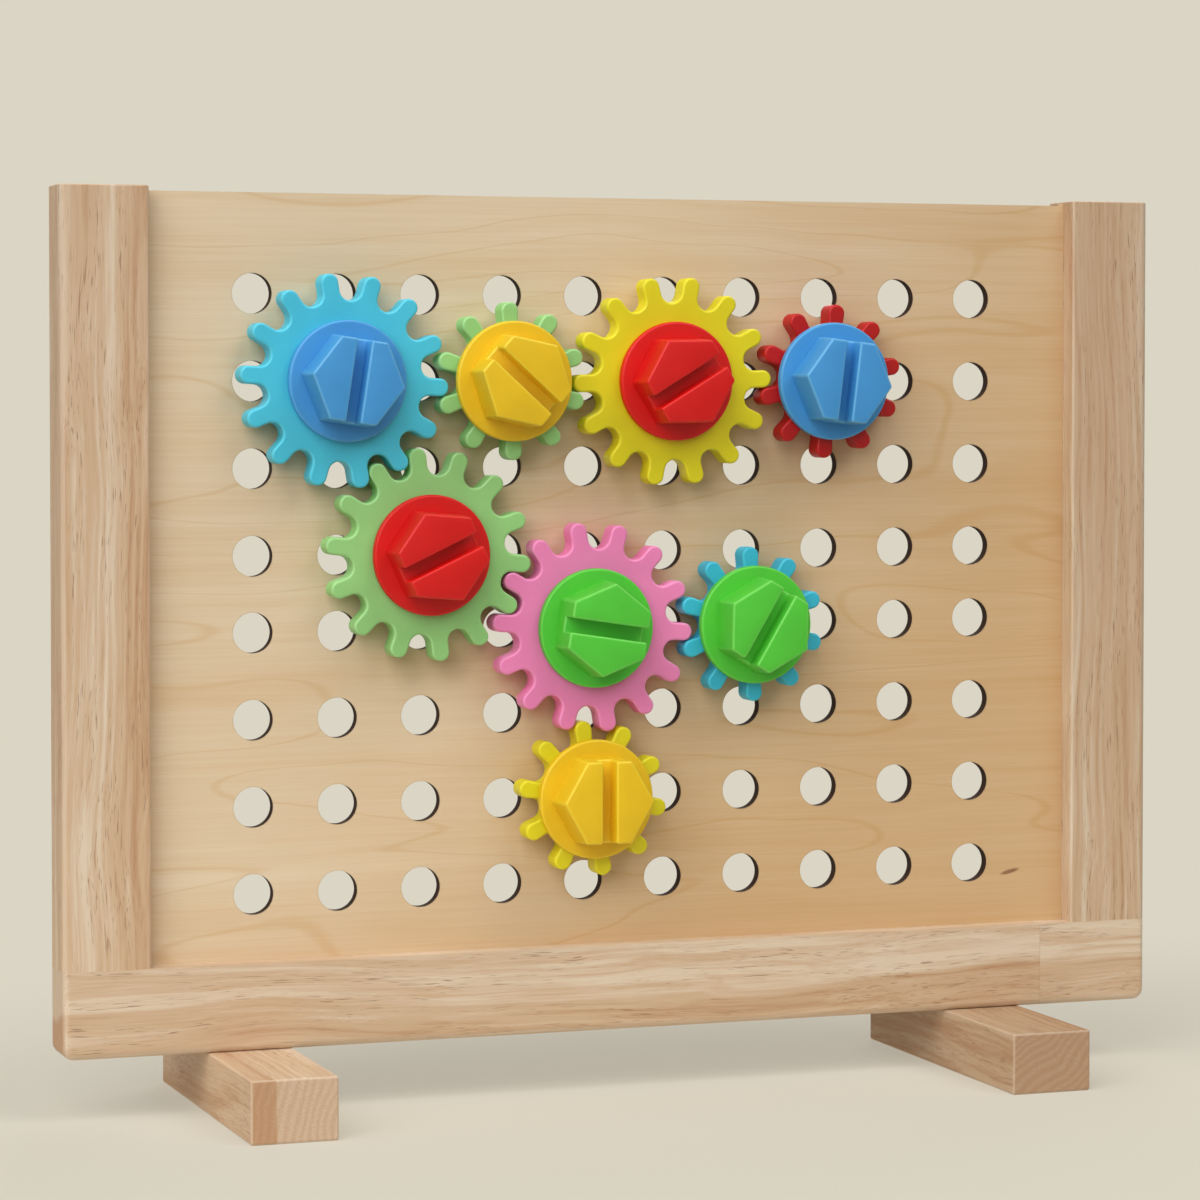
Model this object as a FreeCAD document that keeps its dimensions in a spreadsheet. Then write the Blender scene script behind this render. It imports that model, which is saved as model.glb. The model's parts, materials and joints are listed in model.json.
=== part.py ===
import FreeCAD, Part
import math
import os
import Sketcher

# A wooden peg board that stands on two feet, with plastic gears that turn on bolts.
# +X runs along the board, +Y from its front to its back and +Z up. The origin is on the
# floor, in the middle of the part. All lengths are in millimetres and angles in degrees.

doc = FreeCAD.newDocument("GearPegBoard")

SIZES = (
    # the board and its holes
    ("hole_pitch", 30, "distance between neighbouring holes"),
    ("middle_pitch", 26.33, "distance between the two blocks of rows"),
    ("hole_columns", 10, "holes in a row"),
    ("block_rows", 4, "rows in each of the two blocks"),
    ("hole_diameter", 14, "peg hole"),
    ("board_thickness", 4, "plywood"),
    ("side_margin", 37.5, "outer column of holes to the post"),
    ("bottom_margin", 22.7, "lowest row of holes to the rail"),
    ("top_margin", 34.5, "highest row of holes to the board's top edge"),
    # the frame
    ("post_width", 30.5, "seen from the front"),
    ("frame_thickness", 20, "posts and rail, front to back"),
    ("post_overtop", 1.5, "post's top end above the board's top edge"),
    ("rail_height", 30, "bottom rail"),
    ("groove_depth", 6, "groove for the board in posts and rail"),
    ("groove_clearance", 0.1, "between the board's faces and the groove's walls"),
    ("groove_end_gap", 0.3, "between the board's edges and the groove's ends"),
    ("frame_corner_radius", 2.5, "upright outer corners of posts and rail"),
    ("rail_end_radius", 4, "lower corners of the rail"),
    ("edge_radius", 1, "broken edges of the feet and of the posts' inner sides"),
    ("post_top_radius", 0.5, "edges round a post's top end"),
    # the feet
    ("foot_width", 30, "seen from the front"),
    ("foot_height", 21.5, "floor to rail"),
    ("foot_length", 126, "front to back"),
    ("foot_reach", 56, "foot in front of the frame"),
    ("foot_inset", 50.4, "rail's end to the foot's outer side"),
    # dowels and screws that hold the frame together
    ("dowel_diameter", 8, "between post and rail"),
    ("dowel_length", 40, "half in the post and half in the rail"),
    ("dowel_clearance", 0.1, "round the dowel"),
    ("dowel_end_gap", 0.5, "at each end of the dowel"),
    ("dowel_chamfer", 0.8, "at both ends"),
    ("screw_diameter", 4, "wood screw through the foot"),
    ("screw_tip", 4, "pointed end"),
    ("screw_head_diameter", 8, "pan head"),
    ("screw_head_height", 2.6, "pan head"),
    ("screw_clearance", 0.1, "round the screw in foot and rail"),
    ("screw_end_gap", 1, "between the screw's tip and the end of its hole"),
    ("screw_cover", 3.5, "wood between the screw's hole and the groove above it"),
    ("screw_spacing", 16, "between the two screws of a foot"),
    ("counterbore_depth", 6, "screw head's seat above the floor"),
    ("counterbore_clearance", 0.5, "round the screw head"),
    ("recess_width", 1, "screw head's cross"),
    ("recess_length", 4.4, "screw head's cross"),
    ("recess_depth", 1.4, "screw head's cross"),
    # the gears
    ("large_teeth", 14, "teeth of a large gear"),
    ("small_teeth", 10, "teeth of a small gear"),
    ("large_addendum", 2.1, "tooth of a large gear above the pitch circle"),
    ("small_addendum", 2.5, "tooth of a small gear above the pitch circle"),
    ("tip_clearance", 0.8, "two large gears on the closest pair of holes"),
    ("tooth_play", 3.3, "between two meshed teeth, both flanks together, along the pitch circle"),
    ("gear_thickness", 8.5, "toothed rim"),
    ("gear_edge_radius", 0.9, "rounded rim of a gear"),
    ("boss_height", 2.5, "ring on the gear's back that keeps the teeth off the board"),
    ("boss_diameter", 26, "ring on the gear's back"),
    ("gear_play", 0.4, "axial play at each end of a gear"),
    ("bore_clearance", 0.3, "between the gear's bore and the bolt's shoulder"),
    # the bolts and nuts
    ("shoulder_step", 1, "shoulder wider than the peg hole, all round"),
    ("flange_diameter", 41.8, "round flange under the head"),
    ("flange_thickness", 3.5, "round flange under the head"),
    ("flange_edge_radius", 0.9, "rim of the flange"),
    ("head_corners", 34.4, "hexagon's corner to corner at the flange"),
    ("head_height", 13.5, "hexagon above the flange"),
    ("head_draft", 2.6, "slope of the hexagon's sides"),
    ("head_edge_radius", 0.4, "edges of the hexagon"),
    ("slot_width", 5, "screwdriver slot"),
    ("slot_depth", 7, "screwdriver slot"),
    ("shank_clearance", 0.5, "between the bolt's threaded shank and the peg hole"),
    ("thread_pitch", 4, "one turn of the nut"),
    ("thread_depth", 0.8, "groove between two threads"),
    ("thread_root", 0.8, "width of the groove's bottom"),
    ("thread_crest", 0.4, "width of the ridge between two grooves"),
    ("thread_clearance", 0.3, "between the threads of bolt and nut"),
    ("shank_tail", 2.7, "bolt's end beyond the nut"),
    ("shank_chamfer", 1, "bolt's end"),
    ("nut_corners", 33, "hexagon's corner to corner"),
    ("nut_thickness", 10, "seen from the side"),
    ("nut_chamfer", 1, "nut's outer edges"),
)

# gear, column from the left, row from the top, kind, the gear that drives it,
# and where its teeth stand in the gap of the driver's: 0 in the middle, -1 or 1 near a flank
GEARS = (
    ("large_blue_gear", 2, 2, "large", None, 0),
    ("small_green_gear", 4, 2, "small", "large_blue_gear", -0.93),
    ("large_yellow_gear", 6, 2, "large", "small_green_gear", 0.93),
    ("small_red_gear", 8, 2, "small", "large_yellow_gear", -0.93),
    ("large_green_gear", 3, 4, "large", "large_blue_gear", 0.69),
    ("large_pink_gear", 5, 5, "large", "large_green_gear", -0.40),
    ("small_blue_gear", 7, 5, "small", "large_pink_gear", -0.93),
    ("small_yellow_gear", 5, 7, "small", "large_pink_gear", 0.93),
)
FIRST_GEAR_ANGLE = -3.67
SLOT_ANGLES = {
    "large_blue_gear": 81.3,
    "small_green_gear": -42,
    "large_yellow_gear": 31,
    "small_red_gear": 83,
    "large_green_gear": 25,
    "large_pink_gear": -8.7,
    "small_blue_gear": 59,
    "small_yellow_gear": 90,
}

sheet = doc.addObject("Spreadsheet::Sheet", "Sizes")
for line, (alias, number, meaning) in enumerate(SIZES, start=1):
    sheet.set(f"A{line}", alias)
    sheet.set(f"B{line}", str(number))
    sheet.setAlias(f"B{line}", alias)
    sheet.set(f"C{line}", meaning)
doc.recompute()

# Sizes that follow from those in the sheet, as expressions.
BLOCK_HEIGHT = "(Sizes.block_rows - 1) * Sizes.hole_pitch"
INNER_HALF = "((Sizes.hole_columns - 1) * Sizes.hole_pitch / 2 + Sizes.side_margin)"
FRAME_HALF = f"({INNER_HALF} + Sizes.post_width)"
BOARD_HALF = f"({INNER_HALF} + Sizes.groove_depth - Sizes.groove_end_gap)"
BOARD_SEEN = f"(Sizes.bottom_margin + 2 * {BLOCK_HEIGHT} + Sizes.middle_pitch + Sizes.top_margin)"
GROOVE_WIDTH = "(Sizes.board_thickness + 2 * Sizes.groove_clearance)"
RAIL_TOP = "(Sizes.foot_height + Sizes.rail_height)"
LOW_ROW = f"({RAIL_TOP} + Sizes.bottom_margin)"
FRAME_MIDDLE = "(Sizes.foot_reach - Sizes.foot_length / 2 + Sizes.frame_thickness / 2)"
BOARD_FRONT = f"({FRAME_MIDDLE} - Sizes.board_thickness / 2)"
FOOT_MIDDLE = f"({FRAME_HALF} - Sizes.foot_inset - Sizes.foot_width / 2)"
DOWEL_MIDDLE = "((Sizes.groove_depth + Sizes.post_width) / 2)"
DOWEL_HOLE = "(Sizes.dowel_diameter / 2 + Sizes.dowel_clearance)"
DOWEL_HOLE_DEPTH = "(Sizes.dowel_length / 2 + Sizes.dowel_end_gap)"
SCREW_HOLE = "(Sizes.screw_diameter / 2 + Sizes.screw_clearance)"
SCREW_HOLE_TOP = f"({RAIL_TOP} - Sizes.groove_depth - Sizes.screw_cover)"
SCREW_TIP = f"({SCREW_HOLE_TOP} - Sizes.screw_end_gap)"
SHOULDER_LENGTH = "(Sizes.boss_height + Sizes.gear_thickness + 2 * Sizes.gear_play)"
HEAD_FOOT = f"({SHOULDER_LENGTH} + Sizes.flange_thickness)"
SHANK_END = "(Sizes.board_thickness + Sizes.nut_thickness + Sizes.shank_tail)"
SHOULDER = "(Sizes.hole_diameter / 2 + Sizes.shoulder_step)"
SHANK = "(Sizes.hole_diameter / 2 - Sizes.shank_clearance)"
# a large and a small gear mesh two holes apart, which sets the module of all the teeth
MODULE = "(2 * 2 * Sizes.hole_pitch / (Sizes.large_teeth + Sizes.small_teeth))"
TOOTH_TIP = f"((pi * {MODULE} - Sizes.tooth_play) / 4)"
VALLEY = f"(pi * {MODULE} / 4)"
# two large gears mesh on holes two columns and one row apart, closest across the middle
CLOSEST_LARGE = "sqrt(4 * Sizes.hole_pitch ^ 2 + min(Sizes.hole_pitch; Sizes.middle_pitch) ^ 2)"
LARGE_TIP = f"({MODULE} * Sizes.large_teeth / 2 + Sizes.large_addendum)"
TOOTH_HEIGHT = f"(2 * {LARGE_TIP} + Sizes.tip_clearance - {CLOSEST_LARGE})"


def value(expression):
    """The number that an expression gives with the sheet's sizes."""
    return float(sheet.evalExpression(str(expression)))


def new_body(label):
    """An empty body, whose label is the name of the piece."""
    body = doc.addObject("PartDesign::Body", label)
    body.Label = label
    return body


def origin_feature(body, role):
    """A plane or an axis of the body's own origin."""
    return next(part for part in body.Origin.OriginFeatures if part.Role == role)


def new_sketch(body, name, role, height="0"):
    """An empty sketch on a plane of the body's origin, lifted along the plane's normal."""
    sketch = body.newObject("Sketcher::SketchObject", name)
    sketch.AttachmentSupport = [(origin_feature(body, role), "")]
    sketch.MapMode = "FlatFace"
    if height != "0":
        sketch.setExpression("AttachmentOffset.Base.z", height)
    return sketch


def constrain(sketch, expression, kind, *targets):
    """Adds a dimension to a sketch and binds it to the sheet."""
    index = sketch.addConstraint(Sketcher.Constraint(kind, *targets, value(expression)))
    name = f"{kind.lower()}_{index}"
    sketch.renameConstraint(index, name)
    sketch.setExpression(f"Constraints.{name}", expression)


def bind_point(sketch, curve, end, x, y):
    """Holds a point of a sketch at (x, y), both expressions, measured from the sketch's origin."""
    for kind, axis, place in (("DistanceX", -2, x), ("DistanceY", -1, y)):
        number = value(place)
        if abs(number) < 1e-9:
            sketch.addConstraint(Sketcher.Constraint("PointOnObject", curve, end, axis))
        elif number > 0:
            constrain(sketch, place, kind, -1, 1, curve, end)
        else:
            constrain(sketch, f"-({place})", kind, curve, end, -1, 1)


def add_polygon(sketch, corners):
    """A closed outline of straight lines through corners that are pairs of expressions."""
    points = [FreeCAD.Vector(value(x), value(y), 0) for x, y in corners]
    first = sketch.GeometryCount
    count = len(points)
    for i in range(count):
        sketch.addGeometry(Part.LineSegment(points[i], points[(i + 1) % count]), False)
    for i in range(count):
        following = first + (i + 1) % count
        sketch.addConstraint(Sketcher.Constraint("Coincident", first + i, 2, following, 1))
    for i, (x, y) in enumerate(corners):
        bind_point(sketch, first + i, 1, x, y)


def add_rectangle(sketch, low_x, high_x, low_y, high_y):
    """An upright rectangle between four expressions."""
    add_polygon(sketch, ((low_x, low_y), (high_x, low_y), (high_x, high_y), (low_x, high_y)))


def add_circle(sketch, x, y, radius):
    """A circle with its centre and radius bound to the sheet."""
    centre = FreeCAD.Vector(value(x), value(y), 0)
    up = FreeCAD.Vector(0, 0, 1)
    index = sketch.addGeometry(Part.Circle(centre, up, value(radius)), False)
    bind_point(sketch, index, 3, x, y)
    constrain(sketch, radius, "Radius", index)


def pad(body, sketch, length, reverse=False, draft=None):
    """Raises a sketch into a solid, along the sketch's normal unless it is reversed."""
    feature = body.newObject("PartDesign::Pad", f"{sketch.Name}_pad")
    feature.Profile = sketch
    feature.Reversed = reverse
    feature.setExpression("Length", length)
    if draft:
        feature.setExpression("TaperAngle", draft)
    doc.recompute()
    return feature


def revolve(body, sketch, axis):
    """Turns a sketch into a round solid about one of the sketch's own axes."""
    feature = body.newObject("PartDesign::Revolution", f"{sketch.Name}_revolution")
    feature.Profile = sketch
    feature.ReferenceAxis = (sketch, [axis])
    feature.Angle = 360
    doc.recompute()
    return feature


def cut(body, kind, sketch, depth=None, reverse=False, axis=None):
    """Takes a sketch out of the solid, as a Pocket or a Groove, and checks that it cuts."""
    before = body.Tip.Shape.Volume
    feature = body.newObject(f"PartDesign::{kind}", f"{sketch.Name}_{kind.lower()}")
    feature.Profile = sketch
    feature.Reversed = reverse
    if kind == "Groove":
        feature.ReferenceAxis = (sketch, [axis])
        feature.Angle = 360
    elif depth is None:
        feature.Type = "ThroughAll"
    else:
        feature.setExpression("Length", depth)
    doc.recompute()
    if feature.Shape.Volume > before - 0.01:
        raise RuntimeError(f"{feature.Name} cuts nothing")
    return feature


def soften(body, kind, test, size):
    """Fillets or chamfers the edges of the body's last shape whose middle passes a test."""
    base = body.Tip
    names = []
    for number, edge in enumerate(base.Shape.Edges, start=1):
        if test(edge.valueAt((edge.FirstParameter + edge.LastParameter) / 2)):
            names.append(f"Edge{number}")
    if not names:
        raise RuntimeError(f"{body.Name} has no such edges")
    feature = body.newObject(f"PartDesign::{kind}", f"{body.Name}_{kind.lower()}")
    feature.Base = (base, names)
    feature.setExpression("Radius" if kind == "Fillet" else "Size", size)
    doc.recompute()
    return feature


def place(body, x, y, z, axis=None, angle=0):
    """Puts a finished piece where it belongs in the part, turned about its own origin."""
    if axis:
        body.Placement.Rotation = FreeCAD.Rotation(FreeCAD.Vector(*axis), angle)
    for name, expression in (("x", x), ("y", y), ("z", z)):
        body.setExpression(f"Placement.Base.{name}", expression)
    return body


def same(a, b):
    """Whether two lengths are the same."""
    return abs(a - b) < 1e-4


def make_board():
    """The plywood board, with two blocks of holes whose rows are closer where they meet."""
    body = new_body("peg_board")
    outline = new_sketch(body, "board_outline", "XZ_Plane")
    height = f"(Sizes.groove_depth + {BOARD_SEEN})"
    add_rectangle(outline, f"-{BOARD_HALF}", BOARD_HALF, "0", height)
    pad(body, outline, "Sizes.board_thickness", reverse=True)
    first_column = "-(Sizes.hole_columns - 1) * Sizes.hole_pitch / 2"
    low_row = "(Sizes.groove_depth + Sizes.bottom_margin)"
    high_row = f"({low_row} + {BLOCK_HEIGHT} + Sizes.middle_pitch)"
    for block, row in (("lower", low_row), ("upper", high_row)):
        hole = new_sketch(body, f"{block}_hole", "XZ_Plane")
        add_circle(hole, first_column, row, "Sizes.hole_diameter / 2")
        first_hole = cut(body, "Pocket", hole)
        grid = body.newObject("PartDesign::LinearPattern", f"{block}_holes")
        grid.Originals = [first_hole]
        grid.Direction = (origin_feature(body, "X_Axis"), [""])
        grid.Direction2 = (origin_feature(body, "Z_Axis"), [""])
        grid.setExpression("Length", "(Sizes.hole_columns - 1) * Sizes.hole_pitch")
        grid.setExpression("Occurrences", "Sizes.hole_columns")
        grid.setExpression("Length2", BLOCK_HEIGHT)
        grid.setExpression("Occurrences2", "Sizes.block_rows")
        body.Tip = grid
        doc.recompute()
    low_edge = f"({RAIL_TOP} - Sizes.groove_depth)"
    place(body, "0", BOARD_FRONT, low_edge)


def make_post(label, side):
    """A post with a groove for the board in its inner side, on the side of -X or +X."""
    body = new_body(label)
    section = new_sketch(body, f"{label}_section", "XY_Plane")
    half = "Sizes.frame_thickness / 2"
    groove = f"{GROOVE_WIDTH} / 2"
    corners = (
        ("0", f"-{half}"),
        ("Sizes.post_width", f"-{half}"),
        ("Sizes.post_width", half),
        ("0", half),
        ("0", groove),
        ("Sizes.groove_depth", groove),
        ("Sizes.groove_depth", f"-{groove}"),
        ("0", f"-{groove}"),
    )
    add_polygon(section, corners)
    pad(body, section, f"{BOARD_SEEN} + Sizes.post_overtop")
    dowel_hole = new_sketch(body, f"{label}_dowel_hole", "XY_Plane")
    add_circle(dowel_hole, DOWEL_MIDDLE, "0", DOWEL_HOLE)
    cut(body, "Pocket", dowel_hole, DOWEL_HOLE_DEPTH, reverse=True)
    outer = value("Sizes.post_width")
    depth = value(half)
    top = value(f"{BOARD_SEEN} + Sizes.post_overtop")

    def on_outer_corner(point):
        return same(point.x, outer) and same(abs(point.y), depth)

    def on_inner_corner(point):
        return same(point.x, 0) and same(abs(point.y), depth)

    def round_top(point):
        beside_groove = point.x < value("Sizes.groove_depth") + 1e-4 and abs(point.y) < value(groove) + 1e-4
        return same(point.z, top) and not beside_groove

    soften(body, "Fillet", on_outer_corner, "Sizes.frame_corner_radius")
    soften(body, "Fillet", on_inner_corner, "Sizes.edge_radius")
    soften(body, "Fillet", round_top, "Sizes.post_top_radius")
    turn = 180 if side < 0 else 0
    place(body, f"{side} * {INNER_HALF}", FRAME_MIDDLE, RAIL_TOP, (0, 0, 1), turn)


def make_rail():
    """The bottom rail, grooved for the board, with holes for the dowels and screws."""
    body = new_body("bottom_rail")
    plan = new_sketch(body, "rail_plan", "XY_Plane")
    half = "Sizes.frame_thickness / 2"
    add_rectangle(plan, f"-{FRAME_HALF}", FRAME_HALF, f"-{half}", half)
    pad(body, plan, "Sizes.rail_height", reverse=True)
    groove = new_sketch(body, "rail_groove", "XY_Plane")
    groove_end = f"({INNER_HALF} + Sizes.groove_depth)"
    groove_side = f"{GROOVE_WIDTH} / 2"
    add_rectangle(groove, f"-{groove_end}", groove_end, f"-{groove_side}", groove_side)
    cut(body, "Pocket", groove, "Sizes.groove_depth")
    for side, sign in (("left", "-"), ("right", "")):
        dowel_hole = new_sketch(body, f"rail_{side}_dowel_hole", "XY_Plane")
        add_circle(dowel_hole, f"{sign}({INNER_HALF} + {DOWEL_MIDDLE})", "0", DOWEL_HOLE)
        cut(body, "Pocket", dowel_hole, DOWEL_HOLE_DEPTH)
        screw_holes = new_sketch(body, f"rail_{side}_screw_holes", "XY_Plane", "-Sizes.rail_height")
        for step in ("-", "+"):
            across = f"{sign}({FOOT_MIDDLE} {step} Sizes.screw_spacing / 2)"
            add_circle(screw_holes, across, "0", SCREW_HOLE)
        cut(body, "Pocket", screw_holes, f"{SCREW_HOLE_TOP} - Sizes.foot_height", reverse=True)
    end = value(FRAME_HALF)
    depth = value(half)
    low = -value("Sizes.rail_height")

    def on_lower_corner(point):
        return same(abs(point.x), end) and same(point.z, low)

    def on_upright_corner(point):
        return same(abs(point.x), end) and same(abs(point.y), depth)

    soften(body, "Fillet", on_lower_corner, "Sizes.rail_end_radius")
    soften(body, "Fillet", on_upright_corner, "Sizes.frame_corner_radius")
    place(body, "0", FRAME_MIDDLE, RAIL_TOP)


def make_foot(label, side):
    """A bar from front to back under the rail, counterbored from below for two screws."""
    body = new_body(label)
    plan = new_sketch(body, f"{label}_plan", "XY_Plane")
    half_width = "Sizes.foot_width / 2"
    half_length = "Sizes.foot_length / 2"
    add_rectangle(plan, f"-{half_width}", half_width, f"-{half_length}", half_length)
    pad(body, plan, "Sizes.foot_height")
    soften(body, "Fillet", lambda p: True, "Sizes.edge_radius")
    counterbore = "(Sizes.screw_head_diameter / 2 + Sizes.counterbore_clearance)"
    for name, radius, depth in (
        ("screw_holes", SCREW_HOLE, None),
        ("counterbores", counterbore, "Sizes.counterbore_depth"),
    ):
        holes = new_sketch(body, f"{label}_{name}", "XY_Plane")
        for step in ("-", ""):
            add_circle(holes, f"{step}Sizes.screw_spacing / 2", FRAME_MIDDLE, radius)
        cut(body, "Pocket", holes, depth, reverse=True)
    place(body, f"{side} * {FOOT_MIDDLE}", "0", "0")


def make_dowel(label, side):
    """A wooden dowel, half of it in the rail and half in the post."""
    body = new_body(label)
    section = new_sketch(body, f"{label}_section", "XY_Plane")
    add_circle(section, "0", "0", "Sizes.dowel_diameter / 2")
    pad(body, section, "Sizes.dowel_length")
    soften(body, "Chamfer", lambda p: True, "Sizes.dowel_chamfer")
    across = f"{side} * ({INNER_HALF} + {DOWEL_MIDDLE})"
    place(body, across, FRAME_MIDDLE, f"{RAIL_TOP} - Sizes.dowel_length / 2")


def make_screw(label, side, step):
    """A pan head wood screw that goes up through a foot into the rail."""
    body = new_body(label)
    half_section = new_sketch(body, f"{label}_section", "XZ_Plane")
    head = "Sizes.screw_head_diameter / 2"
    shank = "Sizes.screw_diameter / 2"
    head_foot = "(Sizes.counterbore_depth - Sizes.screw_head_height)"
    end = f"({SCREW_TIP} - {head_foot})"
    corners = (
        ("0", "0"),
        (head, "0"),
        (head, "Sizes.screw_head_height"),
        (shank, "Sizes.screw_head_height"),
        (shank, f"{end} - Sizes.screw_tip"),
        ("0", end),
    )
    add_polygon(half_section, corners)
    revolve(body, half_section, "V_Axis")
    half_width = "Sizes.recess_width / 2"
    half_length = "Sizes.recess_length / 2"
    for name, x, y in (("across", half_length, half_width), ("along", half_width, half_length)):
        recess = new_sketch(body, f"{label}_recess_{name}", "XY_Plane")
        add_rectangle(recess, f"-{x}", x, f"-{y}", y)
        cut(body, "Pocket", recess, "Sizes.recess_depth", reverse=True)
    across = f"{side} * {FOOT_MIDDLE} + {step} * Sizes.screw_spacing / 2"
    place(body, across, FRAME_MIDDLE, head_foot)


def tip_radius(kind):
    """The tip circle's radius for a large or a small gear, as an expression."""
    return f"({MODULE} * Sizes.{kind}_teeth / 2 + Sizes.{kind}_addendum)"


def root_radius(kind):
    """The root circle's radius for a large or a small gear, as an expression."""
    return f"({tip_radius(kind)} - {TOOTH_HEIGHT})"


def add_tooth(sketch, kind):
    """A slice of the gear from its centre: one tooth and the halves of the valleys beside it."""
    teeth = f"Sizes.{kind}_teeth"
    tip_centre = f"({tip_radius(kind)} - {TOOTH_TIP})"
    root = value(root_radius(kind))
    tip_r = value(TOOTH_TIP)
    valley_r = value(VALLEY)
    half_step = math.pi / value(teeth)
    centre = FreeCAD.Vector(0, 0, 0)
    up = FreeCAD.Vector(0, 0, 1)
    tip = FreeCAD.Vector(value(tip_centre), 0, 0)
    to_valley = FreeCAD.Vector(math.cos(half_step), math.sin(half_step), 0)
    valley = to_valley * (root + valley_r)
    apart = valley - tip
    flank = math.atan2(apart.y, apart.x) - math.acos((tip_r + valley_r) / apart.Length)
    outward = FreeCAD.Vector(math.cos(flank), math.sin(flank), 0)
    tip_end = tip + outward * tip_r
    valley_end = valley - outward * valley_r

    def mirrored(point):
        return FreeCAD.Vector(point.x, -point.y, 0)

    lower_valley = Part.Circle(mirrored(valley), up, valley_r)
    upper_valley = Part.Circle(valley, up, valley_r)
    lines = (
        Part.LineSegment(centre, mirrored(to_valley * root)),
        Part.ArcOfCircle(lower_valley, math.pi - flank, math.pi - half_step),
        Part.LineSegment(mirrored(valley_end), mirrored(tip_end)),
        Part.ArcOfCircle(Part.Circle(tip, up, tip_r), -flank, flank),
        Part.LineSegment(tip_end, valley_end),
        Part.ArcOfCircle(upper_valley, math.pi + half_step, math.pi + flank),
        Part.LineSegment(to_valley * root, centre),
    )
    for line in lines:
        sketch.addGeometry(line, False)
    start_line, low_arc, low_flank, tip_arc, high_flank, high_arc, end_line = range(len(lines))
    for kind_of_joint, *ends in (
        ("Coincident", start_line, 1, -1, 1),
        ("Coincident", end_line, 2, -1, 1),
        ("Coincident", start_line, 2, low_arc, 2),
        ("Coincident", end_line, 1, high_arc, 1),
        ("Tangent", low_arc, 1, low_flank, 1),
        ("Tangent", low_flank, 2, tip_arc, 1),
        ("Tangent", tip_arc, 2, high_flank, 1),
        ("Tangent", high_flank, 2, high_arc, 2),
        ("PointOnObject", low_arc, 3, start_line),
        ("PointOnObject", high_arc, 3, end_line),
    ):
        sketch.addConstraint(Sketcher.Constraint(kind_of_joint, *ends))
    root_x = f"{root_radius(kind)} * cos(180 / {teeth})"
    root_y = f"{root_radius(kind)} * sin(180 / {teeth})"
    bind_point(sketch, start_line, 2, root_x, f"-{root_y}")
    bind_point(sketch, end_line, 1, root_x, root_y)
    bind_point(sketch, tip_arc, 3, tip_centre, "0")
    constrain(sketch, TOOTH_TIP, "Radius", tip_arc)
    constrain(sketch, VALLEY, "Radius", low_arc)
    constrain(sketch, VALLEY, "Radius", high_arc)


def hole_place(column, row):
    """The x and z of a hole, counted from the top left, as expressions."""
    x = f"(({column - 1} - (Sizes.hole_columns - 1) / 2) * Sizes.hole_pitch)"
    rows_below = f"(2 * Sizes.block_rows - {row})"
    in_upper_block = row <= value("Sizes.block_rows")
    step = "Sizes.middle_pitch - Sizes.hole_pitch" if in_upper_block else "0"
    return x, f"({LOW_ROW} + {rows_below} * Sizes.hole_pitch + {step})"


def make_gear(label, kind, x, z, angle):
    """A gear with finger-like teeth, a plain bore and a ring on its back."""
    body = new_body(label)
    boss = new_sketch(body, f"{label}_boss", "XZ_Plane", "Sizes.gear_play")
    add_circle(boss, "0", "0", "Sizes.boss_diameter / 2")
    pad(body, boss, "Sizes.boss_height + Sizes.gear_thickness")
    tooth = new_sketch(body, f"{label}_tooth", "XZ_Plane", "Sizes.gear_play + Sizes.boss_height")
    add_tooth(tooth, kind)
    first_tooth = pad(body, tooth, "Sizes.gear_thickness")
    ring = body.newObject("PartDesign::PolarPattern", f"{label}_teeth")
    ring.Originals = [first_tooth]
    ring.Axis = (origin_feature(body, "Y_Axis"), [""])
    ring.Angle = 360
    ring.setExpression("Occurrences", f"Sizes.{kind}_teeth")
    body.Tip = ring
    doc.recompute()
    bore = new_sketch(body, f"{label}_bore", "XZ_Plane", "Sizes.gear_play")
    add_circle(bore, "0", "0", f"{SHOULDER} + Sizes.bore_clearance")
    cut(body, "Pocket", bore, SHOULDER_LENGTH, reverse=True)
    back = value("-(Sizes.gear_play + Sizes.boss_height)")
    front = back - value("Sizes.gear_thickness")
    boss_edge = value("Sizes.boss_diameter / 2")

    def on_rim(point):
        at_face = same(point.y, back) or same(point.y, front)
        return at_face and math.hypot(point.x, point.z) > boss_edge + 1e-4

    soften(body, "Fillet", on_rim, "Sizes.gear_edge_radius")
    place(body, x, BOARD_FRONT, z, (0, -1, 0), angle)


def add_hexagon(sketch, corners):
    """A hexagon round the sketch's origin, with two of its sides square to the x axis."""
    radius = f"({corners} / 2)"
    points = []
    for corner in range(6):
        turn = 30 + 60 * corner
        points.append((f"{radius} * cos({turn})", f"{radius} * sin({turn})"))
    add_polygon(sketch, points)


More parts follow.
